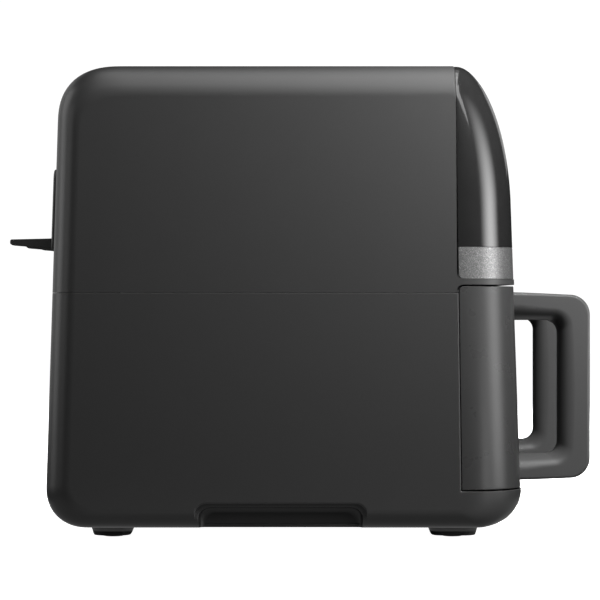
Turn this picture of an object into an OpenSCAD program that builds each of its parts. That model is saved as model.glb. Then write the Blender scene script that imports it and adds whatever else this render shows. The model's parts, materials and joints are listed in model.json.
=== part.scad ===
// Twin-drawer air fryer: two cooking zones side by side in one rounded housing.
// Frame: millimetres, +Z up, front of the appliance towards -Y, origin on the
// resting surface under the centre of the overall box.

/* [Body] */
// Width of the housing
body_w = 390; // [388:1:396]
// Height of the housing's highest point above the resting surface
body_top = 330; // [328:1:334]
// Height of the housing's underside
body_bottom = 8.5; // [8.5:0.1:9]
// Distance from the origin to the front face
body_front = 159; // [158:0.5:160]
// Distance from the origin to the rear face
body_rear = 174; // [173:0.5:175]
// Thickness of the housing walls
wall = 3; // [2.6:0.1:3.2]
// Height of the seam between the upper and lower housings
seam_z = 171.2; // [168:0.1:174]

/* [Front] */
// Distance from the origin to the side seam of the front parts, at the sill
seam_front = 114.2; // [114:0.1:116]
// Height of the underside of the drawer fronts
drawer_bottom = 35.3; // [35:0.1:36]
// Height of the top of the drawer fronts
drawer_top = 176.7; // [176:0.1:177]
// Height of the top of the divider bar above the drawers
bar_top = 181.2; // [181:0.1:181.4]
// Height of the top of the accent band
band_top = 203.4; // [202:0.2:206]
// Thickness of the control panel and accent band
panel_t = 2.6; // [2.4:0.1:3]

/* [Zones] */
// Distance of each cooking zone's centre from the middle
zone_x = 96; // [96:0.1:96.4]
// Outer width of a cooking cavity
liner_w = 172; // [172:0.2:173]
// Outer width of a pan, without its rim
pan_w = 160; // [158:0.5:160]
// Depth of a pan, front to back
pan_d = 216; // [214:0.5:216]
// Height of a pan's rim
pan_top = 150; // [148:0.5:150]

/* [Handles] */
// Width of a handle, side to side
handle_w = 34; // [30:0.5:36]
// Distance from the origin to a handle's outer face
handle_y = 212.5; // [210:0.5:214]
// Height of a handle's finger opening
grip_h = 96.8; // [94:0.2:98]
// Depth of the rounding on a handle's finger side
grip_round = 12; // [9:0.5:12]

/* [Rear] */
// Width of the raised exhaust vent
vent_w = 220; // [210:2:224]
// Height that the vent stands out of the rear face
vent_out = 9; // [8:0.5:10]
// Distance from the origin to the tips of the rear spacer's arms
spacer_y = 212.5; // [210:0.5:214]
// Distance between the centres of the spacer's arms
spacer_pitch = 110; // [100:2:120]

/* [Hidden] */
$fn = 64;
LEFT = -1;
RIGHT = 1;
HUGE = 600;
EPS = 0.01;

// Housing form: how far each edge rounds in towards the side face, and over
// what width the rounding runs.
front_in = 40;
front_over = 38;
top_in = 23;
top_over = 22;
rear_in = 18;
rear_over = 18;
bottom_in = 14;
bottom_over = 13;
side_steps = 8;
// Corners of the side outline: [radius along Y, radius along Z, exponent].
nose = [39, 95, 2];
rear_top = [46, 39, 2.5];
rear_foot = [30, 28.5, 2.2];
front_foot = [27.5, 27.5, 2.05];
// How much the faces lean in with height, a share of Y per millimetre of Z.
lean_from = 34;
front_lean = 0.00022;
rear_lean = 0.00018;
seam_lean = 0.0139;

gap = 0.5;
sill_top = drawer_bottom - 0.9;
bar_bottom = drawer_top + 1;
rib = 3;
frame_y = -110.5;
frame_t = 3;
frame_back = frame_y + frame_t;
sheet = 1;
liner_front = frame_back;
liner_back = 122;
liner_bottom = 37;
liner_top = 212;
guard_z = 172;
lip_z = 184;
heater_z = 189;
rail_top = 40.8;
pan_bottom = 41;
pan_front = -106;
pan_t = 1.2;
pan_mid = pan_front + pan_d / 2;
floor_z = pan_bottom + pan_t;
plate_z = 51;
plate_t = 2;
fan_y = 8;
shaft_r = 3;
motor_z = 226;
stator_h = 34;
cap_z = motor_z + stator_h;
fan_z = 206;
back_y = -114.5;
back_t = 2;
boss_y = -149.5;
screw_tip = -171;
drawer_skin = 3;
grip_bottom = 55.3;
grip_y = -190.1;
vent_low = 202;
vent_high = 261.5;
hold_mid = 10.5;
hold_l = 119;
hold_top = 26;
hold_in = 16;
leg_x = 8;
coil_r = 64;
foot_x = 150;
front_foot_y = -110.5;
rear_foot_y = 129;
pad_r = 8.5;
pad_top = 3.5;
plate_open = [250, 226];
plate_mid = 16;
inlet = [140, 45];
board_z = 18;
board_t = 1.6;
lead_z = 232;

// --- Helpers -------------------------------------------------------------

function sign_pow(v, p) = sign(v) * pow(abs(v), p);

// Points of one superellipse corner, from angle a0 to a1.
function corner(cy, cz, ry, rz, p, a0, n) = [
    for (i = [0:n])
        let (t = a0 + 90 * i / n)
            [cy + ry * sign_pow(cos(t), 2 / p), cz + rz * sign_pow(sin(t), 2 / p)]
];

// Rounding of one edge, at depth a in from the side face.
function rounded_in(a, over, most) =
    a >= over ? 0 : most * (1 - sqrt(1 - pow(1 - a / over, 2)));

function leaned(p) =
    [p.x * (1 - (p.x < 0 ? front_lean : rear_lean) * (p.y - lean_from)), p.y];

function seam_y(z) = -seam_front + seam_lean * (z - lean_from);

// Side outline of the housing, at depth a in from the side face, t inside it.
function section(a, t) =
    let (
        ef = rounded_in(a, front_over, front_in),
        er = rounded_in(a, rear_over, rear_in),
        et = rounded_in(a, top_over, top_in),
        eb = rounded_in(a, bottom_over, bottom_in),
        yf = -body_front + ef + t,
        yr = body_rear - er - t,
        zt = body_top - et - t,
        zb = body_bottom + eb + t,
        rb = [rear_foot.x - 0.6 * er - t, rear_foot.y - 0.6 * eb - t],
        rt = [rear_top.x - 0.6 * er - t, rear_top.y - 0.6 * et - t],
        ft = [max(nose.x - 0.95 * ef - t, 2), nose.y - 0.6 * et - t],
        fb = [max(front_foot.x - 0.5 * ef - t, 3), front_foot.y - 0.5 * eb - t]
    )
    [for (p = concat(
        corner(yr - rb.x, zb + rb.y, rb.x, rb.y, rear_foot.z, -90, 6),
        corner(yr - rt.x, zt - rt.y, rt.x, rt.y, rear_top.z, 0, 7),
        corner(yf + ft.x, zt - ft.y, ft.x, ft.y, nose.z, 90, 11),
        corner(yf + fb.x, zb + fb.y, fb.x, fb.y, front_foot.z, 180, 6)
    )) leaned(p)];

// Turns a drawing in Y and Z into a slab along X.
module along_x(x0, x1) {
    translate([x0, 0, 0]) rotate([90, 0, 90]) linear_extrude(x1 - x0) children();
}

// One convex slice between two outlines in Y and Z, at x0 and x1.
module slice(x0, outline0, x1, outline1) {
    n = len(outline0);
    points = concat([for (p = outline0) [x0, p.x, p.y]], [for (p = outline1) [x1, p.x, p.y]]);
    ends = [[for (k = [0:n - 1]) k], [for (k = [2 * n - 1:-1:n]) k]];
    sides = [for (k = [0:n - 1]) [(k + 1) % n, k, k + n, (k + 1) % n + n]];
    hull() polyhedron(points = points, faces = concat(ends, sides));
}

// The housing's whole outer form, t millimetres inside its surface.
module form(t) {
    depths = [for (i = [0:side_steps]) front_over * (1 - cos(90 * i / side_steps))];
    at = body_w / 2 - t;
    for (side = [LEFT, RIGHT])
        for (i = [0:side_steps - 1])
            slice(side * (at - depths[i]), section(depths[i], t),
                side * (at - depths[i + 1]), section(depths[i + 1], t));
    slice(front_over - at, section(front_over, t), at - front_over, section(front_over, t));
}

module shell(t0, t1) {
    difference() {
        form(t0);
        form(t1);
    }
}

module block(low, high) {
    translate(low) cube(high - low);
}

// Everything in front of the seam between two heights, set back by g.
module front_zone(z0, z1, g, r = 0) {
    y0 = seam_y(z0) - g;
    y1 = seam_y(z1) - g;
    along_x(-HUGE / 2, HUGE / 2) union() {
        polygon([[-HUGE, z0], [y0, z0], [y1, z1 - r], [y1 - r, z1], [-HUGE, z1]]);
        if (r > 0)
            translate([y1 - r, z1 - r]) circle(r, $fn = 32);
    }
}

// A flat rounded rectangle, centred.
module rounded(w, d, r) {
    square([w - 2 * r, d], center = true);
    square([w, d - 2 * r], center = true);
    for (x = [LEFT, RIGHT], y = [-1, 1])
        translate([x * (w / 2 - r), y * (d / 2 - r)]) circle(r);
}

module tube(outer, inner, h) {
    difference() {
        cylinder(r = outer, h = h);
        translate([0, 0, -1]) cylinder(r = inner, h = h + 2);
    }
}

module at_zone(side, y = 0, z = 0) {
    translate([side * zone_x, y, z]) children();
}

// --- Housing -------------------------------------------------------------

module upper_housing() {
    color("#3a3a3b") difference() {
        form(0);
        difference() {
            form(wall);
            block([-HUGE, -HUGE, bar_bottom - rib], [HUGE, frame_y, bar_top + rib]);
        }
        front_zone(bar_top, HUGE, 0);
        front_zone(0, bar_bottom, 0);
        block([-HUGE, -HUGE, 0], [HUGE, HUGE, seam_z]);
        block([-vent_w / 2 + 10, 140, vent_low + 8], [vent_w / 2 - 10, HUGE, vent_high - 8]);
    }
}

// Outline of a hand hold, seen from the side, grown by g.
module hold_outline(g) {
    r = 8;
    hull()
        for (y = [-1, 1], z = [2, hold_top + g - r])
            translate([hold_mid + y * (hold_l / 2 + g - r), z]) circle(r, $fn = 32);
}

module lower_housing() {
    ledge = 6;
    color("#2e2e2f") difference() {
        form(0);
        difference() {
            form(wall);
            block([-HUGE, -HUGE, sill_top - wall], [HUGE, frame_y, sill_top + rib]);
            for (side = [LEFT, RIGHT])
                scale([side, 1, 1])
                    along_x(body_w / 2 - hold_in - wall, body_w / 2) hold_outline(wall);
            translate([0, plate_mid, body_bottom])
                linear_extrude(wall + 2)
                    difference() {
                        rounded(plate_open.x + ledge, plate_open.y + ledge, 10, $fn = 32);
                        rounded(plate_open.x - 2 * ledge, plate_open.y - 2 * ledge, 8, $fn = 32);
                    }
            for (x = [LEFT, RIGHT], y = [-80, 100])
                translate([x * 168, y, body_bottom])
                    cylinder(r = 5, h = liner_bottom - body_bottom, $fn = 32);
        }
        front_zone(sill_top, HUGE, 0);
        block([-HUGE, -HUGE, seam_z - 0.2], [HUGE, HUGE, HUGE]);
        for (side = [LEFT, RIGHT])
            scale([side, 1, 1]) {
                along_x(body_w / 2 - hold_in, HUGE / 2) hold_outline(-2.7);
                along_x(body_w / 2 - 2.2, HUGE / 2) hold_outline(0);
            }
        translate([0, plate_mid, 0]) linear_extrude(body_bottom + wall)
            rounded(plate_open.x + 0.8, plate_open.y + 0.8, 10);
        for (p = screw_places())
            translate([p.x, p.y, 0]) cylinder(r = 1.7, h = 40, $fn = 24);
        translate([inlet.x, 140, inlet.y]) rotate([-90, 0, 0])
            cylinder(r = 9.3, h = 60, $fn = 48);
    }
}

function screw_places() = [
    for (x = [-1, 0, 1], y = [-1, 1])
        [x * (plate_open.x / 2 - 8), plate_mid + y * (plate_open.y / 2 - 3)]
];

module base_plate() {
    t = wall - 0.2;
    color("#262626") translate([0, 0, body_bottom + 0.2]) {
        difference() {
            translate([0, plate_mid, 0]) linear_extrude(t)
                difference() {
                    rounded(plate_open.x, plate_open.y, 9.6);
                    for (x = [-1, 1], i = [0:8])
                        translate([x * 72, -64 + 16 * i]) rounded(70, 5, 2.4);
                }
            for (p = screw_places())
                translate([p.x, p.y, -1]) {
                    cylinder(r = 1.7, h = 10);
                    cylinder(r = 3.4, h = 2.2);
                }
        }
        for (x = [-48, 48], y = [28, 102])
            translate([x, y, t - EPS])
                cylinder(r = 3.5, h = board_z - body_bottom - 0.2 - t + EPS);
    }
}

module base_screws() {
    color("silver")
        for (p = screw_places())
            translate([p.x, p.y, body_bottom]) {
                translate([0, 0, 1.5]) cylinder(r = 1.5, h = 3);
                difference() {
                    translate([0, 0, 0.3]) cylinder(r = 3.1, h = 1.1);
                    translate([0, 0, -1]) cylinder(r = 1.4, h = 1.8, $fn = 6);
                }
                translate([0, 0, 1.3]) cylinder(r = 1.5, h = 1);
            }
}

module control_panel() {
    color("#101012") {
        intersection() {
            shell(0, panel_t);
            front_zone(band_top, HUGE, gap);
        }
        intersection() {
            form(1);
            for (x = [-140, -70, 70, 140], z = [208, 300])
                translate([x, frame_y, z]) rotate([90, 0, 0]) cylinder(r = 4, h = 90, $fn = 24);
        }
    }
}

module accent_band() {
    color("#a8a8a8") intersection() {
        shell(0, panel_t);
        front_zone(bar_top, band_top, gap);
    }
}

module front_frame() {
    open_w = pan_w + 9;
    color("#1c1c1c") difference() {
        intersection() {
            form(wall + 0.4);
            block([-HUGE, frame_y, body_bottom + wall + 0.4],
                [HUGE, frame_back, body_top - wall - 1]);
        }
        for (side = [LEFT, RIGHT])
            at_zone(side)
                block([-open_w / 2, -HUGE, 38.2], [open_w / 2, HUGE, 158]);
        translate([0, 0, lead_z]) rotate([90, 0, 0])
            cylinder(r = 7, h = HUGE, center = true, $fn = 32);
    }
}

// --- Boards --------------------------------------------------------------

module control_board() {
    board = [240, board_t, 74];
    low = 214;
    y = -124;
    color("#1f5a36") {
        translate([-board.x / 2, y, low]) cube(board);
        for (x = [-105, -35, 35, 105], z = [low + 8, low + board.z - 8])
            translate([x, frame_y, z]) rotate([90, 0, 0])
                cylinder(r = 3.5, h = frame_y - y - board.y + EPS);
        for (x = [-80, 80])
            translate([x - 12, y + board.y - EPS, low + 24]) cube([24, 4, 20]);
    }
}

module display_module() {
    color("#17171a") translate([-48, -143, 236]) cube([96, 19, 32]);
}

module power_board() {
    top = board_z + board_t;
    color("#1f5a36") {
        translate([-56, 20, board_z]) cube([112, 90, board_t]);
        translate([-50, 30, top - EPS]) cube([26, 30, 13]);
        for (x = [-12, 14])
            translate([x, 34, top - EPS]) cube([16, 20, 12]);
        for (x = [-40, -22, -4])
            translate([x, 86, top - EPS]) cylinder(r = 6, h = 13);
        translate([20, 74, top - EPS]) cube([26, 26, 8]);
    }
}

// --- Rear ----------------------------------------------------------------

module rear_vent() {
    mid = (vent_low + vent_high) / 2;
    high = vent_high - vent_low;
    color("#1d1d1d") difference() {
        intersection() {
            form(-vent_out);
            translate([0, HUGE / 2, mid]) rotate([90, 0, 0])
                linear_extrude(HUGE / 2 - 100) rounded(vent_w, high, 7, $fn = 32);
        }
        form(0);
        intersection() {
            form(-vent_out + 2.6);
            block([-vent_w / 2 + 4, 100, vent_low + 4], [vent_w / 2 - 4, HUGE, vent_high - 4]);
        }
        for (x = [-1.5:1:1.5], z = [vent_low + 15:6:vent_high - 6])
            translate([x * (vent_w - 16) / 4, 150, z])
                block([-vent_w / 8 + 5, 0, -1.5], [vent_w / 8 - 5, 60, 1.5]);
    }
}

module rear_spacer() {
    arm_w = 12;
    root = [203.6, 212.7];
    tip = [207.4, 211.9];
    step_y = spacer_y - 12;
    color("#1a1a1a") difference() {
        union() {
            for (x = [-1, 1])
                along_x(x * spacer_pitch / 2 - arm_w / 2, x * spacer_pitch / 2 + arm_w / 2)
                    polygon([[170, root[0]], [step_y - 1.5, root[0] + 1.8], [step_y, tip[0] - 0.8],
                        [spacer_y - 2, tip[0]], [spacer_y, tip[0] + 1.2],
                        [spacer_y, tip[1] - 0.8], [spacer_y - 0.8, tip[1]], [170, root[1]]]);
            block([-spacer_pitch / 2, 170, root[0] + 0.6], [spacer_pitch / 2, 180.5, root[1] - 0.3]);
        }
        translate([-HUGE / 2, 0, 0]) along_x(0, HUGE)
            polygon([[100, 190], [leaned([body_rear + vent_out, 190]).x, 190],
                [leaned([body_rear + vent_out, 230]).x, 230], [100, 230]]);
    }
}

module cord_inlet() {
    color("#161616") translate([inlet.x, 0, inlet.y]) rotate([-90, 0, 0])
        difference() {
            union() {
                translate([0, 0, 168]) cylinder(r = 9, h = 8);
                translate([0, 0, 174]) cylinder(r = 12, h = 3);
            }
            translate([0, 0, 160]) cylinder(r = 4.2, h = 30);
        }
}

// --- Feet ----------------------------------------------------------------

// One foot: the slanted side faces the middle of the appliance.
module foot(side, y, long) {
    inner = y > 0 ? -1 : 1;
    lip = 1.2;
    color("#202020") translate([side * foot_x, y, 0]) difference() {
        hull() {
            translate([0, 0, body_bottom - 1.5]) linear_extrude(1.5)
                rounded(32, long, 9, $fn = 32);
            translate([0, -inner * 0.5, lip]) linear_extrude(1)
                rounded(28, long - 4, 8, $fn = 32);
        }
        translate([0, 0, -1]) cylinder(r = pad_r + 0.1, h = pad_top + 1);
    }
}

module foot_pads() {
    color("#111111")
        for (x = [LEFT, RIGHT], y = [front_foot_y, rear_foot_y])
            translate([x * foot_x, y, 0]) cylinder(r = pad_r, h = pad_top);
}

// --- Cooking zones -------------------------------------------------------

module cavity_liner(side) {
    w = liner_w;
    color("#9a9a98") at_zone(side) difference() {
        block([-w / 2, liner_front, liner_bottom], [w / 2, liner_back, liner_top]);
        block([-w / 2 + sheet, -HUGE, liner_bottom + sheet],
            [w / 2 - sheet, liner_back - sheet, liner_top - sheet]);
        translate([0, fan_y, liner_top - 5]) cylinder(r = 5.5, h = 10);
        for (x = [-leg_x, leg_x])
            translate([x, fan_y + coil_r, liner_top - 5]) cylinder(r = 4, h = 10);
        block([-28, liner_back - 5, 174], [28, liner_back + 5, 200]);
        translate([-side * 60, liner_back, 160]) rotate([90, 0, 0])
            cylinder(r = 2.2, h = 10, center = true);
    }
}

module guide_rails() {
    color("#b0b0ae")
        for (side = [LEFT, RIGHT], x = [-60, 60])
            at_zone(side, 0, 0)
                block([x - 4, liner_front + 6, liner_bottom + sheet],
                    [x + 4, liner_back - 12, rail_top]);
}

module reflector(side) {
    top = liner_top - sheet;
    t = 0.8;
    color("#b4b4b2") at_zone(side, fan_y) difference() {
        rotate_extrude()
            polygon([[5.5, top], [72, top], [76, lip_z], [81, lip_z], [81, lip_z - t],
                [75.4, lip_z - t], [71.4, top - t], [5.5, top - t]]);
        for (x = [-leg_x, leg_x])
            translate([x, coil_r, 190]) cylinder(r = 4, h = 40);
    }
}

// A round rod swept along a path, as one closed skin.
module rod(path, r, sides = 8) {
    n = len(path);
    ref = [0.31, 0.17, 0.93];
    rings = [
        for (i = [0:n - 1])
            let (
                d = path[min(i + 1, n - 1)] - path[max(i - 1, 0)],
                t = d / norm(d),
                u0 = cross(t, ref),
                u = u0 / norm(u0),
                v = cross(t, u)
            )
            for (k = [0:sides - 1])
                path[i] + r * (cos(360 * k / sides) * u + sin(360 * k / sides) * v)
    ];
    skin = [
        for (i = [0:n - 2], k = [0:sides - 1])
            let (a = i * sides + k, b = i * sides + (k + 1) % sides)
                [a, b, b + sides, a + sides]
    ];
    caps = [
        [for (k = [sides - 1:-1:0]) k],
        [for (k = [0:sides - 1]) (n - 1) * sides + k]
    ];
    polyhedron(points = rings, faces = concat([for (f = skin) [f[3], f[2], f[1], f[0]]],
        [for (c = caps) [for (k = [len(c) - 1:-1:0]) c[k]]]));
}

// The heating element: two turns that narrow to the middle and widen again
// between two upright legs.
function heater_path() =
    let (steps = 52, lean = 14, inner_r = 34)
    concat(
        [for (z = [liner_top + 18, liner_top + 2, liner_top - 12]) [-leg_x, coil_r, z]],
        [for (i = [0:steps])
            let (
                a = 90 + lean + i * (720 - 2 * lean) / steps,
                swing = sin(180 * i / steps),
                r = coil_r - (coil_r - inner_r) * swing
            )
            [r * cos(a), r * sin(a), heater_z - 3.5 + 7 * i / steps]],
        [for (z = [liner_top - 12, liner_top + 2, liner_top + 18]) [leg_x, coil_r, z]]
    );

module heater(side) {
    color("#6e5a50") at_zone(side, fan_y) rod(heater_path(), 3, 8);
}

module heater_guard(side) {
    z = guard_z;
    t = 1.6;
    legs = [for (a = [45:90:315]) a];
    color("#c0c0be") at_zone(side, fan_y) {
        translate([0, 0, z]) linear_extrude(t) {
            for (r = [14:16:78])
                difference() {
                    circle(r + 1.2);
                    circle(r - 1.2);
                }
            difference() {
                union()
                    for (a = [0:30:150])
                        rotate(a) square([156, 2], center = true);
                circle(13.5);
            }
        }
        for (a = legs)
            rotate(a) translate([78, 0, z + t - EPS])
                cylinder(r = 1.1, h = lip_z - 0.8 - z - t + EPS);
    }
}

// Insulated leads from the cord inlet to the power board, and on from there
// through the space between the cavities to what each one feeds.
module wiring() {
    top = board_z + board_t;
    leg_top = liner_top + 18;
    color("#b5432e") {
        for (x = [-2, 2])
            rod([[inlet.x + x, 168, inlet.y], [inlet.x + x, 158, inlet.y], [128 + x, 146, 34],
                [96 + x, 134, 27], [44 + x, 112, 29], [35 + x, 98, 33],
                [33 + x, 92, 33], [33 + x, 92, top + 8]], 1.5, 6);
        for (side = [LEFT, RIGHT]) {
            rod([[side * 5, 64, top], [side * 5, 64, 120], [side * 5, 62, 222],
                [side * 16, 52, 236], [side * 40, 24, 242], [side * 54, 20, 242],
                [side * (zone_x - 31.05), 20, 242]], 1.5, 6);
            rod([[side * (zone_x - leg_x), fan_y + coil_r, leg_top],
                [side * (zone_x - leg_x), fan_y + coil_r, leg_top + 6],
                [side * 70, 74, leg_top + 12], [side * 24, 76, leg_top + 6],
                [side * 7.5, 76, 222], [side * 7.5, 76, 206], [side * 7.5, 76, 100],
                [side * 7.5, 76, top]], 1.5, 6);
        }
        rod([[0, 70, top], [0, 70, 190], [0, 62, 224], [0, 48, lead_z],
            [0, -60, lead_z], [0, -122.4, lead_z]], 2.4, 8);
    }
}

// --- Motors --------------------------------------------------------------

module motor_mount(side) {
    color("#a2a29f") at_zone(side, fan_y) difference() {
        union() {
            translate([0, 0, motor_z - 2]) linear_extrude(2) rounded(92, 92, 8);
            for (x = [-1, 1], y = [-1, 1])
                translate([x * 38, y * 38, liner_top]) cylinder(r = 4, h = motor_z - liner_top - 1);
            translate([0, 0, cap_z]) linear_extrude(2) rounded(22, 70, 6);
            for (y = [-1, 1])
                translate([0, y * 31.5, motor_z - 1]) cylinder(r = 2.5, h = stator_h + 2);
        }
        translate([0, 0, 200]) cylinder(r = 6.9, h = 100);
    }
}

module motor_bearings() {
    color("#b08d57")
        for (side = [LEFT, RIGHT], z = [motor_z - 3, cap_z - 1])
            at_zone(side, fan_y, z) tube(6.9, shaft_r + 0.05, 4);
}

module motor_stator(side) {
    color("#5e5f63") at_zone(side, fan_y, motor_z + 1.2) difference() {
        linear_extrude(stator_h - 2.4)
            difference() {
                rounded(62, 58, 6);
                circle(15);
            }
        for (y = [-1, 1])
            translate([0, y * 31.5, -5]) cylinder(r = 3.4, h = 60);
    }
}

module motor_shaft(side) {
    color("#c8c8c8") at_zone(side, fan_y) union() {
        translate([0, 0, 190]) cylinder(r = shaft_r, h = 97);
        translate([0, 0, motor_z + 4]) cylinder(r = 14.4, h = stator_h - 8);
    }
}

// One impeller: a disc with straight blades on one face and a hub on the shaft.
module impeller(r, blades, blade_h, up) {
    disc = 1.2;
    difference() {
        union() {
            cylinder(r = r, h = disc);
            translate([0, 0, up ? 0 : disc - blade_h]) cylinder(r = 7, h = blade_h);
            for (i = [0:blades - 1])
                rotate(i * 360 / blades)
                    translate([5, -0.6, up ? disc - EPS : disc - blade_h])
                        cube([r - 6, 1.2, blade_h - disc + EPS]);
        }
        translate([0, 0, -HUGE / 2]) cylinder(r = shaft_r + 0.01, h = HUGE);
    }
}

module hot_fan(side) {
    color("#d0d0ce") at_zone(side, fan_y) {
        translate([0, 0, fan_z]) impeller(52, 10, 12, false);
        translate([0, 0, fan_z - 14]) difference() {
            cylinder(r = 5.5, h = 3.2 + EPS, $fn = 6);
            translate([0, 0, -1]) cylinder(r = shaft_r + 0.01, h = 9);
        }
    }
}

module cooling_fan(side) {
    color("#dcdcd6") at_zone(side, fan_y, cap_z + 9) impeller(42, 12, 14, true);
}

module exhaust_duct(side) {
    color("#8c8c8a") difference() {
        duct_form(side, 0);
        duct_form(side, 1);
    }
}

// The duct from the cavity's back up and in to the rear vent, t inside it.
module duct_form(side, t) {
    grow = t > 0 ? 1 : 0;
    hull() {
        at_zone(side)
            block([-30 + t, liner_back - grow, 172 + t], [30 - t, liner_back + 2, 202 - t]);
        translate([side * 66, 0, 0])
            block([-30 + t, 161.5, 214 + t], [30 - t, 163.4 + grow, 250 - t]);
    }
}

module temperature_sensors() {
    color("#c9c9c9")
        for (side = [LEFT, RIGHT])
            at_zone(side) translate([-side * 60, 105, 160]) rotate([-90, 0, 0]) {
                cylinder(r = 2, h = 18);
                translate([0, 0, liner_back - 105]) cylinder(r = 4, h = 6);
            }
}

// --- Drawers -------------------------------------------------------------

// The half of the front that belongs to one drawer, t inside its edges.
module drawer_half(side, t) {
    scale([side, 1, 1])
        block([1.2 + t, -HUGE, 0], [HUGE, HUGE, HUGE]);
}

module drawer_front(side) {
    set_back = 0.6;
    skin = drawer_skin;
    color("#333334") difference() {
        intersection() {
            form(set_back);
            front_zone(drawer_bottom, drawer_top, 0.7, 4);
            drawer_half(side, 0);
        }
        difference() {
            intersection() {
                form(set_back + skin);
                front_zone(drawer_bottom + skin, drawer_top - skin, -20, 0);
                drawer_half(side, skin);
            }
            for (p = handle_fixings(side))
                translate([p.x, boss_y, p.z]) rotate([90, 0, 0])
                    cylinder(r = 6, h = 40, $fn = 32);
        }
        for (p = handle_fixings(side))
            translate([p.x, -140, p.z]) rotate([90, 0, 0]) cylinder(r = 2.4, h = 60, $fn = 24);
    }
}

function handle_fixings(side) = [
    for (z = [46.5, 162.5]) [side * zone_x, 0, z]
];

module drawer_back(side) {
    high = drawer_top - drawer_bottom - 2 * drawer_skin;
    near = 1.2 + drawer_skin;
    wide = 186;
    color("#262627") difference() {
        translate([side * (near + wide / 2), back_y, drawer_bottom + drawer_skin + high / 2])
            rotate([90, 0, 0]) linear_extrude(back_t) rounded(wide, high, 3);
        for (p = bracket_fixings(side))
            translate([p.x, back_y - back_t / 2, p.y]) rotate([90, 0, 0])
                cylinder(r = 2.1, h = 10, center = true);
    }
}

function bracket_fixings(side) = [
    for (x = [-30, 30], z = [74, 118]) [side * zone_x + x, z]
];

module pan_bracket(side) {
    color("#1e1e1f") difference() {
        translate([side * zone_x, pan_front, 96]) rotate([90, 0, 0])
            linear_extrude(pan_front - back_y)
                difference() {
                    rounded(96, 66, 5);
                    rounded(40, 46, 4);
                }
        for (p = bracket_fixings(side))
            translate([p.x, -120, p.y]) rotate([-90, 0, 0]) cylinder(r = 1.6, h = 12.5);
    }
}

module pan_screws(side) {
    color("silver")
        for (p = bracket_fixings(side))
            translate([p.x, back_y - back_t, p.y]) rotate([-90, 0, 0]) {
                translate([0, 0, -1.4]) cylinder(r = 3.6, h = 1.4);
                translate([0, 0, -0.5]) cylinder(r = 1.5, h = 9);
            }
}

// Outline of a handle seen from the side, t inside it.
module handle_outline(t) {
    r = 14.5;
    hull() {
        translate([-handle_y + r, 170.6 - r]) circle(r - t, $fn = 48);
        translate([-handle_y + r, 38 + r]) circle(r - t, $fn = 48);
        polygon([[-146, 36.3 + t], [-146, 173 - t], [-158, 172.5 - t], [-158, 36.7 + t]]);
    }
}

// A slice of the finger opening, at x from the handle's middle.
module grip_slice(x) {
    g = grip_round * (1 - sqrt(1 - pow(min(abs(x) / (handle_w / 2), 1), 2)));
    r = 9 + g / 2;
    along_x(x - EPS / 2, x + EPS / 2) hull() {
        for (z = [grip_bottom - g + r, grip_bottom + grip_h + g - r])
            translate([grip_y - g + r, z]) circle(r, $fn = 32);
        translate([-140, grip_bottom - g]) square([1, grip_h + 2 * g]);
    }
}

module handle(side) {
    steps = 7;
    half = handle_w / 2;
    edge = 1.8;
    places = [for (i = [-steps:steps]) half * sin(90 * i / steps)];
    color("#2b2b2c") at_zone(side) difference() {
        hull() {
            along_x(-half + edge, half - edge) handle_outline(0);
            along_x(-half, half) handle_outline(edge);
        }
        for (i = [0:len(places) - 2])
            hull() {
                grip_slice(places[i]);
                grip_slice(places[i + 1]);
            }
        for (x = [-1, 1])
            hull() {
                grip_slice(x * half);
                translate([x * 4, 0, 0]) grip_slice(x * half);
            }
        translate([-side * zone_x, 0, 0]) form(0.6);
        for (p = handle_fixings(side))
            translate([0, screw_tip - 1, p.z]) rotate([-90, 0, 0])
                cylinder(r = 2.1, h = 30, $fn = 24);
    }
}

module handle_screws(side) {
    color("silver")
        for (p = handle_fixings(side))
            translate([p.x, boss_y, p.z]) rotate([90, 0, 0]) {
                translate([0, 0, -3.05]) cylinder(r = 4, h = 3);
                translate([0, 0, -1]) cylinder(r = 2, h = boss_y - screw_tip + 1);
            }
}

module pan_outline(t) {
    rounded(pan_w - 2 * t, pan_d - 2 * t, 24 - t);
}

module pan(side) {
    rim = 3;
    color("#2c2c2e") at_zone(side, pan_mid) difference() {
        union() {
            translate([0, 0, pan_bottom]) linear_extrude(pan_top - pan_bottom) pan_outline(0);
            translate([0, rim / 2, pan_top - 2]) linear_extrude(2)
                rounded(pan_w + 2 * rim, pan_d + rim, 26);
        }
        translate([0, 0, floor_z]) linear_extrude(pan_top) pan_outline(pan_t);
    }
}

module crisper_plate(side) {
    clear = 4;
    color("#3a3a3c") at_zone(side, pan_mid, plate_z) linear_extrude(plate_t)
        difference() {
            pan_outline(pan_t + clear);
            for (x = [-4:4], y = [-6:6])
                if (abs(x) + abs(y) < 9.5 && !(abs(x) <= 1 && y == 0))
                    translate([15 * x, 15 * y]) circle(3.2, $fn = 24);
            rounded(36, 12, 5.9);
            for (x = [-1, 1], y = [-1, 1])
                translate([x * 64, y * 92]) circle(3.1, $fn = 24);
        }
}

module plate_bumpers(side) {
    color("#8a1f1a") at_zone(side, pan_mid)
        for (x = [-1, 1], y = [-1, 1])
            translate([x * 64, y * 92, 0]) {
                translate([0, 0, floor_z + 0.1])
                    cylinder(r1 = 5, r2 = 6, h = plate_z - floor_z - 0.2);
                translate([0, 0, plate_z - 1]) cylinder(r = 3, h = plate_t + 2);
                translate([0, 0, plate_z + plate_t + 0.1]) cylinder(r1 = 4.6, r2 = 3.2, h = 2);
            }
}

// --- Nodes ---------------------------------------------------------------

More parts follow.
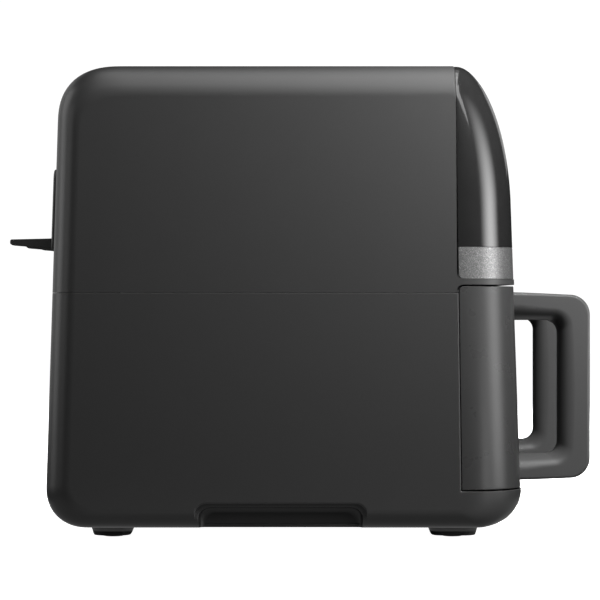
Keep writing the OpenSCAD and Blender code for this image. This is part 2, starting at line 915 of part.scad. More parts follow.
upper_housing();
lower_housing();
base_plate();
control_panel();
accent_band();
front_frame();
control_board();
display_module();
power_board();
rear_vent();
rear_spacer();
cord_inlet();
foot(LEFT, front_foot_y, 35);  // foot_front_left
foot(RIGHT, front_foot_y, 35);  // foot_front_right
foot(LEFT, rear_foot_y, 30);  // foot_rear_left
foot(RIGHT, rear_foot_y, 30);  // foot_rear_right
foot_pads();
base_screws();
motor_bearings();
temperature_sensors();
cavity_liner(LEFT);  // cavity_liner_left
cavity_liner(RIGHT);  // cavity_liner_right
guide_rails();
wiring();
reflector(LEFT);  // reflector_left
reflector(RIGHT);  // reflector_right
heater(LEFT);  // heater_left
heater(RIGHT);  // heater_right
heater_guard(LEFT);  // heater_guard_left
heater_guard(RIGHT);  // heater_guard_right
motor_mount(LEFT);  // motor_mount_left
motor_mount(RIGHT);  // motor_mount_right
motor_stator(LEFT);  // motor_stator_left
motor_stator(RIGHT);  // motor_stator_right
exhaust_duct(LEFT);  // exhaust_duct_left
exhaust_duct(RIGHT);  // exhaust_duct_right
motor_shaft(LEFT);  // motor_shaft_left
motor_shaft(RIGHT);  // motor_shaft_right
hot_fan(LEFT);  // hot_fan_left
hot_fan(RIGHT);  // hot_fan_right
cooling_fan(LEFT);  // cooling_fan_left
cooling_fan(RIGHT);  // cooling_fan_right
drawer_front(LEFT);  // drawer_front_left
drawer_front(RIGHT);  // drawer_front_right
drawer_back(LEFT);  // drawer_back_left
drawer_back(RIGHT);  // drawer_back_right
handle(LEFT);  // handle_left
handle(RIGHT);  // handle_right
handle_screws(LEFT);  // handle_screws_left
handle_screws(RIGHT);  // handle_screws_right
pan(LEFT);  // pan_left
pan(RIGHT);  // pan_right
pan_bracket(LEFT);  // pan_bracket_left
pan_bracket(RIGHT);  // pan_bracket_right
pan_screws(LEFT);  // pan_screws_left
pan_screws(RIGHT);  // pan_screws_right
crisper_plate(LEFT);  // crisper_plate_left
crisper_plate(RIGHT);  // crisper_plate_right
plate_bumpers(LEFT);  // plate_bumpers_left
plate_bumpers(RIGHT);  // plate_bumpers_right
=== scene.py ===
"""Visual model of the twin-drawer air fryer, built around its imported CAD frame.

Lengths inside the mesh functions are millimetres in the row frame; to_object()
turns them into metres.
"""
import json
import math

import bmesh
import bpy
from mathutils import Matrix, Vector


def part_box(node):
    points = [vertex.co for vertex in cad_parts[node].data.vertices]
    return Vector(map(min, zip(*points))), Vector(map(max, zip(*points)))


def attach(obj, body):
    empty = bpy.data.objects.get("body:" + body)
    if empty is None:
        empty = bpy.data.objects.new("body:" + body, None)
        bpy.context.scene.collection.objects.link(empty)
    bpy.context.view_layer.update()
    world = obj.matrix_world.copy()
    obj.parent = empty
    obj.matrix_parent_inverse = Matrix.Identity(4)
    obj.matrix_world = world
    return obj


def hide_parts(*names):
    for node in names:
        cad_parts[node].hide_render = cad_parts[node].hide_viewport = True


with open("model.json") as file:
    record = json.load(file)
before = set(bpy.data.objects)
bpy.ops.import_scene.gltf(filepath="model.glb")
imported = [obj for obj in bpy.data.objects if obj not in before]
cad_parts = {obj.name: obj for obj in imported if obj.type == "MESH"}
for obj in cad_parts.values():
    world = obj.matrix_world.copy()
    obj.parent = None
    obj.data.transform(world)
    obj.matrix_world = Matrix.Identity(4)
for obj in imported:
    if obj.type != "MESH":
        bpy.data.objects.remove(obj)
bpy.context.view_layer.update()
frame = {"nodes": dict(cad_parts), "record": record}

MM = 0.001
SHARP = math.radians(42)
LEFT, RIGHT = -1, 1
FRONT, REAR = -1, 1
SIDES = ((LEFT, "left"), (RIGHT, "right"))


def cad(node):
    """Lowest and highest corner of a CAD node, in millimetres."""
    low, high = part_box(node)
    return Vector(low) / MM, Vector(high) / MM


# --- Dimensions read from the frame ----------------------------------------

UPPER = cad("upper_housing")
LOWER = cad("lower_housing")
BAND = cad("accent_band")
DRAWER = cad("drawer_front_right")
HANDLE = cad("handle_right")
VENT = cad("rear_vent")
SPACER = cad("rear_spacer")
PAN = cad("pan_right")
INLET = cad("cord_inlet")
BASE = cad("base_plate")
PADS = cad("foot_pads")
DISPLAY = cad("display_module")

HALF_W = UPPER[1].x
TOP_Z = UPPER[1].z
BOTTOM_Z = LOWER[0].z
SEAM_Z = UPPER[0].z
FRONT_Y = -LOWER[0].y
REAR_Y = LOWER[1].y
BAR_TOP = BAND[0].z
BAND_TOP = BAND[1].z
DRAWER_GAP = DRAWER[0].x
# The drawers' fronts, and the edges of the housing above and below them.
DRAWER_LOW = DRAWER[0].z
DRAWER_HIGH = DRAWER[1].z - 0.4
BAR_BOTTOM = DRAWER_HIGH + 1.0
SILL_TOP = DRAWER_LOW - 0.9
ZONE_X = (HANDLE[0].x + HANDLE[1].x) / 2
# How far the vent stands out of the rear, and a foot's pad.
VENT_OUT = 9.0
PAD_R, PAD_TOP = 8.5, PADS[1].z

# Form of the housing: how far each edge rounds in, and over what width.
FRONT_IN, FRONT_OVER = 40.0, 38.0
TOP_IN, TOP_OVER = 23.0, 22.0
REAR_IN, REAR_OVER = 18.0, 18.0
BOTTOM_IN, BOTTOM_OVER = 14.0, 13.0
# Its corners seen from the side: length, height and superellipse power.
NOSE = (39.0, 95.0, 2.0)
REAR_TOP = (46.0, 39.0, 2.5)
REAR_FOOT = (30.0, 28.5, 2.2)
FRONT_FOOT = (27.5, 27.5, 2.05)
# Lean of its walls and its front seam for each millimetre above a height.
LEAN_FROM = 34.0
FRONT_LEAN = 0.00022
REAR_LEAN = 0.00018
SEAM_LEAN = 0.0139
# Gap between the housing and the panel in the CAD model.
PANEL_GAP = 0.5
SEAM_BASE = -BAND[1].y - PANEL_GAP + SEAM_LEAN * (BAND_TOP - LEAN_FROM)
# Well outside the object, for outlines that run off it.
FAR = 900.0


def sign_pow(v, p):
    return math.copysign(abs(v) ** p, v)


def corner(cy, cz, ry, rz, p, start, steps):
    """Points of a superellipse corner, through 90 degrees from start."""
    points = []
    for i in range(steps + 1):
        t = math.radians(start + 90 * i / steps)
        points.append((cy + ry * sign_pow(math.cos(t), 2 / p),
                       cz + rz * sign_pow(math.sin(t), 2 / p)))
    return points


def rounded_in(a, over, most):
    """How far an edge lies in at depth a, where it rounds off by most over a width."""
    if a >= over:
        return 0.0
    return most * (1 - math.sqrt(max(0.0, 1 - (1 - a / over) ** 2)))


def leaned(y, z):
    """The point moved by the lean of its wall."""
    lean = FRONT_LEAN if y < 0 else REAR_LEAN
    return y * (1 - lean * (z - LEAN_FROM)), z


def seam_y(z):
    """Y of the front seam at height z."""
    return -SEAM_BASE + SEAM_LEAN * (z - LEAN_FROM)


def section(a, t, steps=(20, 22, 36, 20)):
    """Side outline of the housing at depth a from the side face, t inside it."""
    ef = rounded_in(a, FRONT_OVER, FRONT_IN)
    er = rounded_in(a, REAR_OVER, REAR_IN)
    et = rounded_in(a, TOP_OVER, TOP_IN)
    eb = rounded_in(a, BOTTOM_OVER, BOTTOM_IN)
    yf = -FRONT_Y + ef + t
    yr = REAR_Y - er - t
    zt = TOP_Z - et - t
    zb = BOTTOM_Z + eb + t
    rb = (REAR_FOOT[0] - 0.6 * er - t, REAR_FOOT[1] - 0.6 * eb - t)
    rt = (REAR_TOP[0] - 0.6 * er - t, REAR_TOP[1] - 0.6 * et - t)
    ft = (max(NOSE[0] - 0.95 * ef - t, 2), NOSE[1] - 0.6 * et - t)
    fb = (max(FRONT_FOOT[0] - 0.5 * ef - t, 3), FRONT_FOOT[1] - 0.5 * eb - t)
    points = corner(yr - rb[0], zb + rb[1], *rb, REAR_FOOT[2], -90, steps[0])
    points += corner(yr - rt[0], zt - rt[1], *rt, REAR_TOP[2], 0, steps[1])
    points += corner(yf + ft[0], zt - ft[1], *ft, NOSE[2], 90, steps[2])
    points += corner(yf + fb[0], zb + fb[1], *fb, FRONT_FOOT[2], 180, steps[3])
    return [leaned(y, z) for y, z in points]


def face_y(z, t=0.0, end=FRONT):
    """Y of the flat part of the front or the rear at height z, t inside it."""
    ring = sorted((p for p in section(FRONT_OVER, t) if p[0] * end > 60),
                  key=lambda p: p[1])
    for low, high in zip(ring, ring[1:]):
        if low[1] <= z <= high[1]:
            share = (z - low[1]) / max(high[1] - low[1], 1e-9)
            return low[0] + (high[0] - low[0]) * share
    return ring[0][0]


# --- Mesh helpers ----------------------------------------------------------


def to_object(name, bm, smooth=True):
    """Turns a millimetre bmesh into a linked object in metres."""
    bmesh.ops.scale(bm, vec=(MM, MM, MM), verts=bm.verts)
    for e in bm.edges:
        e.smooth = not e.is_manifold or e.calc_face_angle(0) < SHARP
    mesh = bpy.data.meshes.new(name)
    bm.to_mesh(mesh)
    bm.free()
    obj = bpy.data.objects.new(name, mesh)
    bpy.context.scene.collection.objects.link(obj)
    if smooth:
        for face in mesh.polygons:
            face.use_smooth = True
    return obj


def form_skin(t):
    """The whole closed outer form of the housing, t inside its surface."""
    steps = 26
    spans = 12
    depths = [FRONT_OVER * (1 - math.cos(math.radians(90 * i / steps)))
              for i in range(steps + 1)]
    at = HALF_W - t
    columns = [(-at + d, d) for d in depths]
    inner = at - FRONT_OVER
    columns += [(-inner + 2 * inner * i / spans, FRONT_OVER) for i in range(1, spans)]
    columns += [(at - d, d) for d in reversed(depths)]
    bm = bmesh.new()
    rings = []
    for x, a in columns:
        rings.append([bm.verts.new((x, y, z)) for y, z in section(a, t)])
    tube_faces(bm, rings)
    bm.faces.new(reversed(rings[0]))
    bm.faces.new(rings[-1])
    bmesh.ops.recalc_face_normals(bm, faces=bm.faces)
    return bm


def inside(point, polygon):
    y, z = point
    hit = False
    for (y0, z0), (y1, z1) in zip(polygon, polygon[1:] + polygon[:1]):
        if (z0 > z) != (z1 > z) and y < (y1 - y0) * (z - z0) / (z1 - z0) + y0:
            hit = not hit
    return hit


def trim(bm, polygon, axis=0, keep=True, where=None):
    """Cuts a skin along a polygon seen along an axis, and keeps its inside or
    its outside. Only faces for which where() holds are touched."""
    u, w = [k for k in range(3) if k != axis]
    slack = 0.4
    for p, q in zip(polygon, polygon[1:] + polygon[:1]):
        low = (min(p[0], q[0]) - slack, min(p[1], q[1]) - slack)
        high = (max(p[0], q[0]) + slack, max(p[1], q[1]) + slack)
        if abs(q[0] - p[0]) + abs(q[1] - p[1]) < 1e-6:
            continue
        near = []
        for face in bm.faces:
            us = [v.co[u] for v in face.verts]
            ws = [v.co[w] for v in face.verts]
            if (max(us) > low[0] and min(us) < high[0]
                    and max(ws) > low[1] and min(ws) < high[1]
                    and (where is None or where(face.calc_center_median()))):
                near.append(face)
        geom = dict.fromkeys(near)
        for face in near:
            geom.update(dict.fromkeys([*face.edges, *face.verts]))
        place, normal = Vector(), Vector()
        place[u], place[w] = p
        normal[u], normal[w] = q[1] - p[1], p[0] - q[0]
        bmesh.ops.bisect_plane(bm, geom=list(geom), dist=0.002,
                               plane_co=place, plane_no=normal)
    out = []
    for face in bm.faces:
        centre = face.calc_center_median()
        if where is not None and not where(centre):
            continue
        if inside((centre[u], centre[w]), polygon) != keep:
            out.append(face)
    bmesh.ops.delete(bm, geom=out, context="FACES")
    clean(bm)


def carved(bm, cutter):
    """The closed mesh less another closed mesh."""
    holders = []
    for name, part in (("carve_target", bm), ("carve_tool", cutter)):
        mesh = bpy.data.meshes.new(name)
        part.to_mesh(mesh)
        part.free()
        holder = bpy.data.objects.new(name, mesh)
        bpy.context.scene.collection.objects.link(holder)
        holders.append(holder)
    target, tool = holders
    mod = target.modifiers.new("carve", "BOOLEAN")
    mod.operation = "DIFFERENCE"
    mod.solver = "EXACT"
    mod.object = tool
    graph = bpy.context.evaluated_depsgraph_get()
    result = bmesh.new()
    result.from_mesh(target.evaluated_get(graph).to_mesh())
    for holder in holders:
        mesh = holder.data
        bpy.data.objects.remove(holder)
        bpy.data.meshes.remove(mesh)
    bmesh.ops.recalc_face_normals(result, faces=result.faces)
    return result


def cut_plane(bm, co, no, clear=True):
    """Cuts along a plane, and clears the side that no points to.

    Returns the new edges in the plane.
    """
    made = bmesh.ops.bisect_plane(bm, geom=bm.verts[:] + bm.edges[:] + bm.faces[:],
                                  dist=0.002, plane_co=co, plane_no=no, clear_outer=clear)
    return [g for g in made["geom_cut"] if isinstance(g, bmesh.types.BMEdge)]


def capped_cut(bm, co, no):
    """Cuts away part of a closed convex mesh and closes it again."""
    bmesh.ops.contextual_create(bm, geom=cut_plane(bm, co, no))


def clean(bm):
    bmesh.ops.remove_doubles(bm, verts=bm.verts, dist=0.02)
    bmesh.ops.dissolve_degenerate(bm, dist=0.01, edges=bm.edges)
    loose = [v for v in bm.verts if not v.link_faces]
    bmesh.ops.delete(bm, geom=loose, context="VERTS")


def thicken(bm, depth, r, steps=3, flat=1.0):
    """Gives an open skin a thickness, with its free edges rolled over at radius r.

    The thickness, the radius and how deep the roll goes against its width are
    numbers, or functions of a point on the skin.
    """
    bm.normal_update()
    skin = list(bm.faces)
    normals = {v: v.normal.copy() for v in bm.verts}
    out = {}
    rim = [e for e in bm.edges if e.is_boundary]
    for e in rim:
        face = e.link_faces[0]
        mid = (e.verts[0].co + e.verts[1].co) / 2
        direction = (e.verts[1].co - e.verts[0].co).normalized()
        away = direction.cross(face.normal)
        if away.dot(face.calc_center_median() - mid) > 0:
            away = -away
        for v in e.verts:
            out.setdefault(v, []).append(away)
    push = {}
    for v, aways in out.items():
        total = sum(aways, Vector())
        spread = 1 + (aways[0].dot(aways[1]) if len(aways) > 1 else 1)
        push[v] = total / max(spread, 0.35) if len(aways) > 1 else total

    def at(value, v):
        return value(v.co) if callable(value) else value

    radius = {v: at(r, v) for v in push}
    sunk = {v: at(flat, v) for v in push}
    for v in push:
        v.co -= push[v] * radius[v]
    rings = {v: [v] for v in push}
    for i in range(1, steps + 1):
        t = math.radians(90 * i / steps)
        for v in push:
            offset = radius[v] * (push[v] * math.sin(t)
                                  - normals[v] * sunk[v] * (1 - math.cos(t)))
            rings[v].append(bm.verts.new(v.co + offset))
    inner = {}
    for v in normals:
        shift = push[v] * radius[v] if v in push else Vector()
        inner[v] = bm.verts.new(v.co + shift - normals[v] * at(depth, v))
    for v in push:
        rings[v].append(inner[v])
    for face in skin:
        bm.faces.new([inner[v] for v in reversed(face.verts[:])])
    for e in rim:
        loop = e.link_loops[0]
        a, b = loop.vert, loop.link_loop_next.vert
        for i in range(steps + 1):
            quad = (rings[b][i], rings[a][i], rings[a][i + 1], rings[b][i + 1])
            bm.faces.new(quad)
    bmesh.ops.recalc_face_normals(bm, faces=bm.faces)


def arc(cy, cz, r, start, end, steps=6):
    """Points of a round arc, its angles in degrees."""
    points = []
    for i in range(steps + 1):
        t = math.radians(start + (end - start) * i / steps)
        points.append((cy + r * math.cos(t), cz + r * math.sin(t)))
    return points


def flat_normals(obj):
    """Keeps large flat faces flat where they run into a rounding."""
    mod = obj.modifiers.new("flat faces", "WEIGHTED_NORMAL")
    mod.mode = "FACE_AREA"
    mod.weight = 60
    mod.keep_sharp = True


def tube_faces(bm, rings):
    """Faces between each two neighbours in a row of matching closed rings."""
    count = len(rings[0])
    for a, b in zip(rings, rings[1:]):
        for k in range(count):
            j = (k + 1) % count
            bm.faces.new((a[k], a[j], b[j], b[k]))


def rounded_outline(half_w, half_h, r, steps=8):
    """Corner points of a rounded rectangle, centred on 0."""
    points = []
    for sx, sy, start in ((1, 1, 0), (-1, 1, 90), (-1, -1, 180), (1, -1, 270)):
        points += arc(sx * (half_w - r), sy * (half_h - r), r, start, start + 90, steps)
    return points


def moved(outline, du, dv):
    """The outline shifted in its own plane."""
    return [(du + u, dv + v) for u, v in outline]


def stacked(levels):
    """A closed skin through matching rings of points, lowest first."""
    bm = bmesh.new()
    rings = [[bm.verts.new(p) for p in ring] for ring in levels]
    tube_faces(bm, rings)
    bm.faces.new(reversed(rings[0]))
    bm.faces.new(rings[-1])
    bmesh.ops.recalc_face_normals(bm, faces=bm.faces)
    return bm


def lathed(profile, place, axis=2, steps=40):
    """A closed turned piece: radius and height pairs about an axis at place.

    A radius of 0 at either end closes the piece there; otherwise it is a ring.
    """
    bm = bmesh.new()
    u, w = ((1, 2), (2, 0), (0, 1))[axis]
    rings = []
    for radius, height in profile:
        count = 1 if radius == 0 else steps
        ring = []
        for i in range(count):
            t = 2 * math.pi * i / steps
            co = Vector(place)
            co[axis] += height
            co[u] += radius * math.cos(t)
            co[w] += radius * math.sin(t)
            ring.append(bm.verts.new(co))
        rings.append(ring)
    closed = len(rings[0]) > 1
    pairs = list(zip(rings, rings[1:] + (rings[:1] if closed else [])))
    for low, high in pairs[:len(rings) - (0 if closed else 1)]:
        for i in range(steps):
            j = (i + 1) % steps
            corners = [low[i % len(low)], low[j % len(low)],
                       high[j % len(high)], high[i % len(high)]]
            bm.faces.new(list(dict.fromkeys(corners)))
    bmesh.ops.recalc_face_normals(bm, faces=bm.faces)
    return bm


def prism(outline, low, high, axis=0, bevel=0.0, steps=2):
    """A closed slab with the given outline across an axis, its edges bevelled."""
    u, w = [k for k in range(3) if k != axis]
    bm = bmesh.new()
    ring = []
    for a, b in outline:
        co = Vector()
        co[u], co[w], co[axis] = a, b, low
        ring.append(bm.verts.new(co))
    face = bm.faces.new(ring)
    made = bmesh.ops.extrude_face_region(bm, geom=[face])
    shift = Vector()
    shift[axis] = high - low
    bmesh.ops.translate(bm, vec=shift,
                        verts=[v for v in made["geom"] if isinstance(v, bmesh.types.BMVert)])
    bmesh.ops.recalc_face_normals(bm, faces=bm.faces)
    if bevel:
        sharp = [e for e in bm.edges if e.calc_face_angle(0) > math.radians(20)]
        bmesh.ops.bevel(bm, geom=sharp, offset=bevel, segments=steps, profile=0.5,
                        affect="EDGES", clamp_overlap=True)
    return bm


def merged(parts):
    """Several closed meshes as the islands of one."""
    whole = bmesh.new()
    for part in parts:
        mesh = bpy.data.meshes.new("island")
        part.to_mesh(mesh)
        part.free()
        whole.from_mesh(mesh)
        bpy.data.meshes.remove(mesh)
    return whole


# --- Materials -------------------------------------------------------------


def add_node(tree, kind, **settings):
    """A new shader node with its properties set."""
    node = tree.nodes.new(kind)
    for key, value in settings.items():
        setattr(node, key, value)
    return node


class Shader:
    """A procedural material, built up node by node."""

    def __init__(self, name, **sockets):
        self.mat = bpy.data.materials.new(name)
        self.mat.use_nodes = True
        self.tree = self.mat.node_tree
        self.bsdf = self.tree.nodes["Principled BSDF"]
        for key, value in sockets.items():
            self.bsdf.inputs[key.replace("_", " ")].default_value = value
        self.coords = self.add("ShaderNodeTexCoord").outputs["Object"]

    def add(self, kind, **settings):
        return add_node(self.tree, kind, **settings)

    def link(self, source, target):
        self.tree.links.new(source, target)

    def stretched(self, scale):
        mapping = self.add("ShaderNodeMapping")
        mapping.inputs["Scale"].default_value = scale
        self.link(self.coords, mapping.inputs["Vector"])
        return mapping.outputs["Vector"]

    def noise(self, scale, detail=2.0, roughness=0.5, vector=None):
        node = self.add("ShaderNodeTexNoise")
        node.inputs["Scale"].default_value = scale
        node.inputs["Detail"].default_value = detail
        node.inputs["Roughness"].default_value = roughness
        self.link(vector or self.coords, node.inputs["Vector"])
        return node.outputs["Fac"]

    def cells(self, scale, output="Distance", vector=None):
        node = self.add("ShaderNodeTexVoronoi")
        node.inputs["Scale"].default_value = scale
        self.link(vector or self.coords, node.inputs["Vector"])
        return node.outputs[output]

    def ramp(self, source, stops):
        node = self.add("ShaderNodeValToRGB")
        elements = node.color_ramp.elements
        while len(elements) < len(stops):
            elements.new(0.5)
        for element, (place, colour) in zip(elements, stops):
            element.position = place
            element.color = (*colour, 1) if len(colour) == 3 else colour
        self.link(source, node.inputs["Fac"])
        return node.outputs["Color"]

    def spread(self, source, low, high, from_low=0.3, from_high=0.7):
        node = self.add("ShaderNodeMapRange")
        node.inputs["From Min"].default_value = from_low
        node.inputs["From Max"].default_value = from_high
        node.inputs["To Min"].default_value = low
        node.inputs["To Max"].default_value = high
        self.link(source, node.inputs["Value"])
        return node.outputs["Result"]

    def colour(self, source):
        self.link(source, self.bsdf.inputs["Base Color"])

    def rough(self, source):
        self.link(source, self.bsdf.inputs["Roughness"])

    def bump(self, height, strength, distance, under=None):
        node = self.add("ShaderNodeBump")
        node.inputs["Strength"].default_value = strength
        node.inputs["Distance"].default_value = distance
        self.link(height, node.inputs["Height"])
        if under is not None:
            self.link(under, node.inputs["Normal"])
        self.link(node.outputs["Normal"], self.bsdf.inputs["Normal"])
        return node.outputs["Normal"]


def tint(colour, factor):
    return tuple(min(1.0, c * factor) for c in colour)


def moulded(name, colour, rough=0.5, grain=1500.0, depth=0.00003, level=0.35):
    """Moulded plastic: a fine spark-eroded grain and very faint flow marks."""
    s = Shader(name, Roughness=rough, Specular_IOR_Level=level)
    fine = s.noise(grain, 3.0, 0.6)
    s.colour(s.ramp(fine, [(0.3, tint(colour, 0.9)), (0.7, tint(colour, 1.1))]))
    flow = s.noise(55.0, 3.0, 0.5)
    s.rough(s.spread(flow, rough - 0.012, rough + 0.012))
    s.bump(fine, 0.3, depth)
    return s.mat


def gloss_black(name, colour, rough=0.22):
    """Hard-coated gloss panel: clear lacquer over a softer dark moulding."""
    s = Shader(name, Roughness=rough, Specular_IOR_Level=0.18, Coat_Weight=1.0,
               Coat_Roughness=0.06, Coat_IOR=1.65)
    haze = s.noise(90.0, 4.0, 0.6)
    s.colour(s.ramp(haze, [(0.3, tint(colour, 0.94)), (0.7, tint(colour, 1.08))]))
    s.rough(s.spread(haze, rough - 0.012, rough + 0.012))
    s.bump(s.noise(24.0, 1.0), 0.02, 0.0002)
    return s.mat


def flake(name, colour):
    """Metal-flake lacquer: small platelets of mixed tilt and brightness."""
    s = Shader(name, Metallic=0.85, Roughness=0.34, Coat_Weight=0.2, Coat_Roughness=0.15)
    tone = s.add("ShaderNodeRGBToBW")
    s.link(s.cells(2600.0, "Color"), tone.inputs["Color"])
    s.colour(s.ramp(tone.outputs["Val"], [
        (0.1, tint(colour, 0.5)), (0.5, tint(colour, 0.85)),
        (0.8, tint(colour, 1.25)), (0.96, tint(colour, 2.2))]))
    s.rough(s.spread(s.noise(1400.0, 2.0), 0.33, 0.45))
    s.bump(tone.outputs["Val"], 0.25, 0.00003)
    return s.mat


def print_white(name, colour):
    """Pale screen print, a little worn."""
    s = Shader(name, Roughness=0.45)
    wear = s.noise(700.0, 3.0, 0.6)
    s.colour(s.ramp(wear, [(0.25, tint(colour, 0.8)), (0.6, colour)]))
    return s.mat


def sheet_metal(name, colour, rough=0.38, grain=(6.0, 260.0, 260.0), metallic=1.0):
    """Rolled or brushed sheet with lengthwise grain and a little staining."""
    s = Shader(name, Metallic=metallic, Roughness=rough)
    lines = s.noise(4.0, 4.0, 0.6, s.stretched(grain))
    stain = s.noise(18.0, 5.0, 0.6)
    mix = s.add("ShaderNodeMath", operation="MULTIPLY")
    s.link(lines, mix.inputs[0])
    s.link(stain, mix.inputs[1])
    s.colour(s.ramp(mix.outputs[0], [(0.12, tint(colour, 0.8)), (0.42, tint(colour, 1.08))]))
    s.rough(s.spread(lines, rough - 0.08, rough + 0.1))
    s.bump(lines, 0.15, 0.00004)
    return s.mat


def non_stick(name, colour):
    """Sprayed non-stick coating: orange peel, pale specks and faint rub marks."""
    s = Shader(name, Roughness=0.42, Coat_Weight=0.15, Coat_Roughness=0.3)
    specks = s.cells(700.0)
    s.colour(s.ramp(specks, [(0.0, tint(colour, 3.2)), (0.09, tint(colour, 2.2)),
                             (0.16, colour), (1.0, tint(colour, 0.85))]))
    s.rough(s.spread(s.noise(24.0, 5.0, 0.6), 0.34, 0.5))
    s.bump(s.noise(520.0, 2.0), 0.25, 0.00008)
    return s.mat


def circuit_board(name, colour):
    """Green solder mask over copper tracks."""
    s = Shader(name, Roughness=0.32, Coat_Weight=0.3)
    tracks = s.cells(170.0, "Distance", s.stretched((1.0, 1.0, 1.6)))
    s.colour(s.ramp(tracks, [(0.2, tint(colour, 1.5)), (0.32, colour), (0.7, tint(colour, 0.75))]))
    s.bump(tracks, 0.2, 0.00006)
    return s.mat


def rubber(name, colour, rough=0.72):
    """Matte rubber or silicone with a little dust."""
    s = Shader(name, Roughness=rough)
    dust = s.noise(40.0, 6.0, 0.7)
    s.colour(s.ramp(dust, [(0.3, colour), (0.75, tint(colour, 1.6))]))
    s.rough(s.spread(dust, rough - 0.06, rough + 0.12))
    s.bump(s.noise(900.0, 2.0), 0.3, 0.00006)
    return s.mat


def oxidised_tube(name, colour):
    """Heating tube: dark oxide with straw and blue heat tints."""
    s = Shader(name, Metallic=0.75, Roughness=0.45)
    bands = s.noise(38.0, 3.0, 0.6)
    s.colour(s.ramp(bands, [(0.3, tint(colour, 0.7)), (0.5, colour),
                            (0.62, (0.16, 0.15, 0.2)), (0.75, tint(colour, 1.4))]))
    s.bump(s.noise(420.0, 3.0), 0.3, 0.00006)
    return s.mat


SLOT = {entry["slot"]: tuple(entry["base_color"][:3])
        for entry in frame["record"]["materials"]}
MATERIAL = {
    "housing_black": moulded("housing plastic", SLOT["housing_black"], 0.35),
    "drawer_black": moulded("drawer plastic", SLOT["drawer_black"], 0.28, depth=0.000012),
    "handle_black": moulded("handle plastic", SLOT["handle_black"], 0.35, 1700.0,
                            level=0.5),
    "structure_black": moulded("structure plastic", SLOT["structure_black"],
                               0.5, 1000.0),
    "foot_black": moulded("foot plastic", SLOT["foot_black"], 0.55, 1100.0),
    "gloss_black": gloss_black("panel gloss", SLOT["gloss_black"]),
    "display_black": gloss_black("display gloss", SLOT["display_black"]),
    "band_silver": flake("flake lacquer", SLOT["band_silver"]),
    "pad_rubber": rubber("pad rubber", SLOT["pad_rubber"]),
    "silicone_red": rubber("bumper silicone", SLOT["silicone_red"], 0.5),
    "wire_insulation": rubber("wire sleeve", SLOT["wire_insulation"], 0.5),
    "board_green": circuit_board("solder mask", SLOT["board_green"]),
    "liner_steel": sheet_metal("aluminised sheet", SLOT["liner_steel"], 0.42,
                               (8.0, 90.0, 90.0)),
    "zinc_steel": sheet_metal("zinc sheet", SLOT["zinc_steel"], 0.36),
    "heater_steel": oxidised_tube("heating tube", SLOT["heater_steel"]),
    "wire_chrome": sheet_metal("polished wire", SLOT["wire_chrome"], 0.16, (90.0, 90.0, 6.0)),
    "motor_steel": sheet_metal("laminations", SLOT["motor_steel"], 0.5, (4.0, 4.0, 900.0), 0.7),
    "shaft_steel": sheet_metal("ground steel", SLOT["shaft_steel"], 0.2, (200.0, 200.0, 6.0)),
    "fan_aluminium": sheet_metal("stamped aluminium", SLOT["fan_aluminium"], 0.32),
    "fan_nylon": moulded("fan nylon", SLOT["fan_nylon"], 0.45),
    "brass": sheet_metal("sintered brass", SLOT["brass"], 0.4, (60.0, 60.0, 60.0)),
    "screw_steel": sheet_metal("zinc screw", SLOT["screw_steel"], 0.3, (90.0, 90.0, 90.0)),
    "pan_nonstick": non_stick("pan coating", SLOT["pan_nonstick"]),
    "plate_nonstick": non_stick("plate coating", SLOT["plate_nonstick"]),
}
NODE_SLOT = {entry["node"]: entry["material_slot"]
             for entry in frame["record"]["subparts"]}


def make_piece(name, bm, node, body="housing", flat=True, slot=None, stands_in=True):
    """Makes a piece from its mesh, with its material and its body.

    It hides the CAD node that it stands in for, and flat asks for flat faces.
    """
    obj = to_object(name, bm)
    if flat:
        flat_normals(obj)
    slot = slot or NODE_SLOT[node]
    obj.data.materials.append(MATERIAL[slot])
    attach(obj, body)
    if stands_in:
        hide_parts(node)
    return obj


def paint_frame():
    """Every CAD node gets its slot's procedural material."""
    for node, obj in frame["nodes"].items():
        material = MATERIAL[NODE_SLOT[node]]
        if not obj.material_slots:
            obj.data.materials.append(material)
        for holder in obj.material_slots:
            holder.material = material


# --- Housing ---------------------------------------------------------------

# Underside and top of the gap between the two housings, above the CAD seam.
SEAM_LOW, SEAM_HIGH = 0.4, 0.55
# Corner radius of the openings that the band and the drawers lie in.
OPENING_R = 4.0
# Wall of the housing, and radius of the hole in it for the cord inlet.
WALL, INLET_HOLE_R = 2.6, 9.3
# The panel and the band: gap at the seam, depth behind the housing, wall.
SEEN_GAP, PANEL_IN, PANEL_SKIN = 0.3, 0.42, 2.4
# A drawer's front: behind the form, wall, behind the seam, corner at the seam.
DRAWER_IN, DRAWER_SKIN, DRAWER_BACK, DRAWER_R = 0.6, 3.0, 0.5, 3.4
# A hand hold: the Y of its middle, its length and the height of its top.
HOLD_MID, HOLD_L, HOLD_TOP = 10.5, 119.0, 26.0
# Depth in from the side face and growth of the outline, from outside inwards.
HOLD_PROFILE = ((-6.0, 1.2), (-0.03, 1.2), (0.12, 0.62), (0.42, 0.2), (1.0, 0.0),
                (1.9, 0.0), (2.2, -0.15), (2.35, -0.5), (2.45, -2.0), (2.7, -2.5),
                (3.3, -2.7), (11.5, -2.7), (13.6, -3.1), (15.1, -4.3), (15.8, -5.8),
                (16.0, -7.4))


def near_seam(co):
    """1 along the front seam of the housing, falling to 0 in 3 mm."""
    return max(0.0, 1 - abs(co.y - seam_y(co.z)) / 3)


def thicken_housing(bm, depth, edge, wide):
    """A housing wall: its edge rolls over wide and flat along the front seam."""
    cut_plane(bm, (0, seam_y(0) + 3.2, 0), (0, 1, -SEAM_LEAN), clear=False)
    thicken(bm, depth, lambda co: edge + (wide - edge) * near_seam(co), 4,
            lambda co: 1 - 0.55 * near_seam(co))


